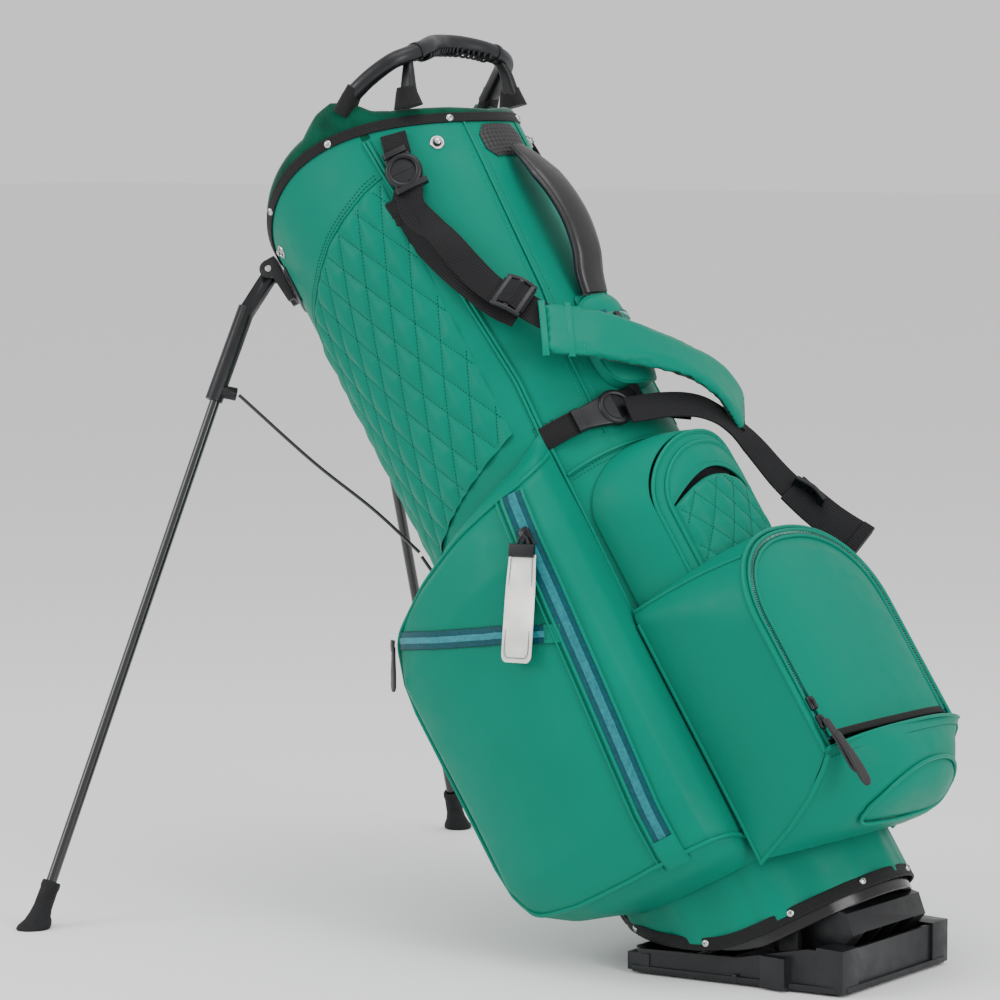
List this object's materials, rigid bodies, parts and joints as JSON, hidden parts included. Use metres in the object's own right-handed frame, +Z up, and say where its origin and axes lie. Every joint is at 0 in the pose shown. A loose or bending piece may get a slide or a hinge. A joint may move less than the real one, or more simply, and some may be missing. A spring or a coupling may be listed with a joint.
{
  "type": "golf stand bag",
  "caption": "Golf stand bag with a covered tube, side and front pockets, a top handle, a pivoting base foot and folding stand legs.",
  "frame": {"origin": "on the floor, midway along the base foot on the middle plane, with the bag leaned back on its legs", "axes": "+Z up, -X towards the stand legs, +X towards the spine side with the carry handle and ball pocket, -Y the side with the long zip in view"},
  "size_m": [0.7544, 0.6204, 0.7848],
  "materials": {
    "green_leatherette": "smooth matt coated leatherette with fine grain",
    "green_velour": "brushed velour",
    "green_pad": "smooth leatherette over foam",
    "black_webbing": "woven nylon webbing",
    "steel": "polished steel",
    "black_moulding": "satin moulded nylon",
    "grey_button": "satin moulded nylon",
    "rubber": "moulded rubber",
    "black_enamel": "gloss black enamel on aluminium tube",
    "teal_zip": "coated zip tape",
    "zip_metal": "gloss black enamel on die-cast zinc",
    "black_leather": "semi-gloss black leather",
    "black_patch": "embossed black leatherette",
    "tag_leather": "plain off-white leatherette",
    "lining": "brushed lining fabric over foam",
    "stay_rod": "glass-fibre stay with a smooth finish"
  },
  "bodies": {
    "bag": {"body_shell": "green_leatherette", "club_divider": "lining", "divider_panels": "lining", "side_stays": "stay_rod", "top_cuff": "green_velour", "top_trim": "black_webbing", "collar_rivets": "steel", "hood_snaps": "steel", "top_handle": "black_moulding", "handle_boots": "black_moulding", "quilt_panel_near": "green_leatherette", "quilt_panel_far": "green_leatherette", "hem_band": "black_webbing", "hem_rivets": "steel", "base_cup": "black_moulding", "pivot_block": "black_moulding", "apparel_pocket_near": "green_leatherette", "apparel_pocket_far": "green_leatherette", "apparel_zips": "teal_zip", "small_zip": "teal_zip", "upper_pocket": "green_leatherette", "upper_pocket_front": "green_leatherette", "valuables_pocket": "green_leatherette", "ball_pocket": "green_leatherette", "ball_zip": "teal_zip", "lower_pouch": "green_leatherette", "carry_handle": "black_leather", "handle_patches": "black_patch", "shoulder_pads": "green_pad", "upper_webbing": "black_webbing", "lower_webbing": "black_webbing", "strap_loops": "black_webbing", "strap_buckles": "black_moulding", "strap_sliders": "black_moulding", "leg_bracket": "black_moulding", "leg_clevises": "black_moulding", "leg_pins": "steel"},
    "base_foot": {"base_foot": "black_moulding", "foot_pads": "rubber", "hinge_pin": "steel"},
    "leg_near": {"leg_knuckle_near": "black_moulding", "leg_tube_near": "black_enamel", "leg_foot_near": "rubber"},
    "wire_upper_near": {"wire_upper_near": "steel"},
    "wire_lower_near": {"wire_lower_near": "steel"},
    "zip_slider_near": {"zip_slider_near": "zip_metal"},
    "leg_far": {"leg_knuckle_far": "black_moulding", "leg_tube_far": "black_enamel", "leg_foot_far": "rubber"},
    "wire_upper_far": {"wire_upper_far": "steel"},
    "wire_lower_far": {"wire_lower_far": "steel"},
    "zip_slider_far": {"zip_slider_far": "zip_metal"},
    "ball_door": {"ball_pocket_door": "green_leatherette"},
    "hang_tag": {"hang_tag": "tag_leather"},
    "small_zip_pull": {"small_zip_pull": "black_leather"},
    "upper_button": {"upper_button": "black_moulding"},
    "lower_button": {"lower_button": "grey_button"},
    "ball_zip_pulls": {"ball_zip_pulls": "black_leather"},
    "valuables_pull": {"valuables_pull": "black_leather"}
  },
  "joints": [
    {"name": "base_tilt", "type": "hinge", "parent": "bag", "child": "base_foot", "pos_m": [0.03596, 0, 0.04622], "axis": [0, -1, 0], "range_deg": [0, 34]},
    {"name": "leg_near_fold", "type": "hinge", "parent": "bag", "child": "leg_near", "pos_m": [-0.53592, -0.0626, 0.5736], "axis": [0.4353, -0.8511, 0.2936], "range_deg": [0, 44.2]},
    {"name": "wire_upper_near_swing", "type": "hinge", "parent": "leg_near", "child": "wire_upper_near", "pos_m": [-0.54361, -0.09856, 0.46336], "axis": [-0.5261, 0.8451, -0.095], "range_deg": [0, 63.15]},
    {"name": "wire_lower_near_flex", "type": "hinge", "parent": "wire_upper_near", "child": "wire_lower_near", "pos_m": [-0.39516, -0.022, 0.32235], "axis": [0.4378, -0.7901, 0.4291], "range_deg": [0, 13.57]},
    {"name": "leg_far_fold", "type": "hinge", "parent": "bag", "child": "leg_far", "pos_m": [-0.53592, 0.0626, 0.5736], "axis": [-0.4353, -0.8511, -0.2936], "range_deg": [0, 44.2]},
    {"name": "wire_upper_far_swing", "type": "hinge", "parent": "leg_far", "child": "wire_upper_far", "pos_m": [-0.54361, 0.09856, 0.46336], "axis": [0.5261, 0.8451, 0.095], "range_deg": [0, 63.15]},
    {"name": "wire_lower_far_flex", "type": "hinge", "parent": "wire_upper_far", "child": "wire_lower_far", "pos_m": [-0.39516, 0.022, 0.32235], "axis": [-0.4378, -0.7901, -0.4291], "range_deg": [0, 13.57]},
    {"name": "zip_slide_near", "type": "slide", "parent": "bag", "child": "zip_slider_near", "axis": [0.5135, -0.0222, -0.8578], "range_m": [0, 0.214]},
    {"name": "zip_slide_far", "type": "slide", "parent": "bag", "child": "zip_slider_far", "axis": [0.5135, 0.0222, -0.8578], "range_m": [0, 0.214]},
    {"name": "tag_swing", "type": "hinge", "parent": "zip_slider_near", "child": "hang_tag", "pos_m": [-0.16954, -0.16268, 0.36579], "axis": [-0.9703, -0.2419, 0], "range_deg": [0, 40]},
    {"name": "small_zip_pull_swing", "type": "hinge", "parent": "bag", "child": "small_zip_pull", "pos_m": [-0.31576, -0.15375, 0.26343], "axis": [-0.866, 0.5, 0], "range_deg": [0, 70]},
    {"name": "ball_door_open", "type": "hinge", "parent": "bag", "child": "ball_door", "pos_m": [0.088, 0, 0.21763], "axis": [0, 1, 0], "range_deg": [0, 80]},
    {"name": "ball_zip_pulls_swing", "type": "hinge", "parent": "bag", "child": "ball_zip_pulls", "pos_m": [0.086, -0.092, 0.22955], "axis": [0, -1, 0], "range_deg": [0, 80]},
    {"name": "valuables_pull_swing", "type": "hinge", "parent": "bag", "child": "valuables_pull", "pos_m": [-0.20535, 0, 0.56135], "axis": [0, -1, 0], "range_deg": [0, 60]},
    {"name": "upper_button_press", "type": "slide", "parent": "bag", "child": "upper_button", "axis": [-0.4841, 0.8118, -0.3265], "range_m": [0, 0.002], "stiffness_N_per_m": 400},
    {"name": "lower_button_press", "type": "slide", "parent": "bag", "child": "lower_button", "axis": [-0.771, 0.3677, -0.52], "range_m": [0, 0.002], "stiffness_N_per_m": 400}
  ],
  "couplings": [
    {"joint": "leg_near_fold", "follows": "base_tilt", "ratio": 1.2941},
    {"joint": "wire_upper_near_swing", "follows": "base_tilt", "ratio": 1.8484},
    {"joint": "wire_lower_near_flex", "follows": "base_tilt", "ratio": 0.39043},
    {"joint": "leg_far_fold", "follows": "base_tilt", "ratio": 1.2941},
    {"joint": "wire_upper_far_swing", "follows": "base_tilt", "ratio": 1.8484},
    {"joint": "wire_lower_far_flex", "follows": "base_tilt", "ratio": 0.39043}
  ]
}
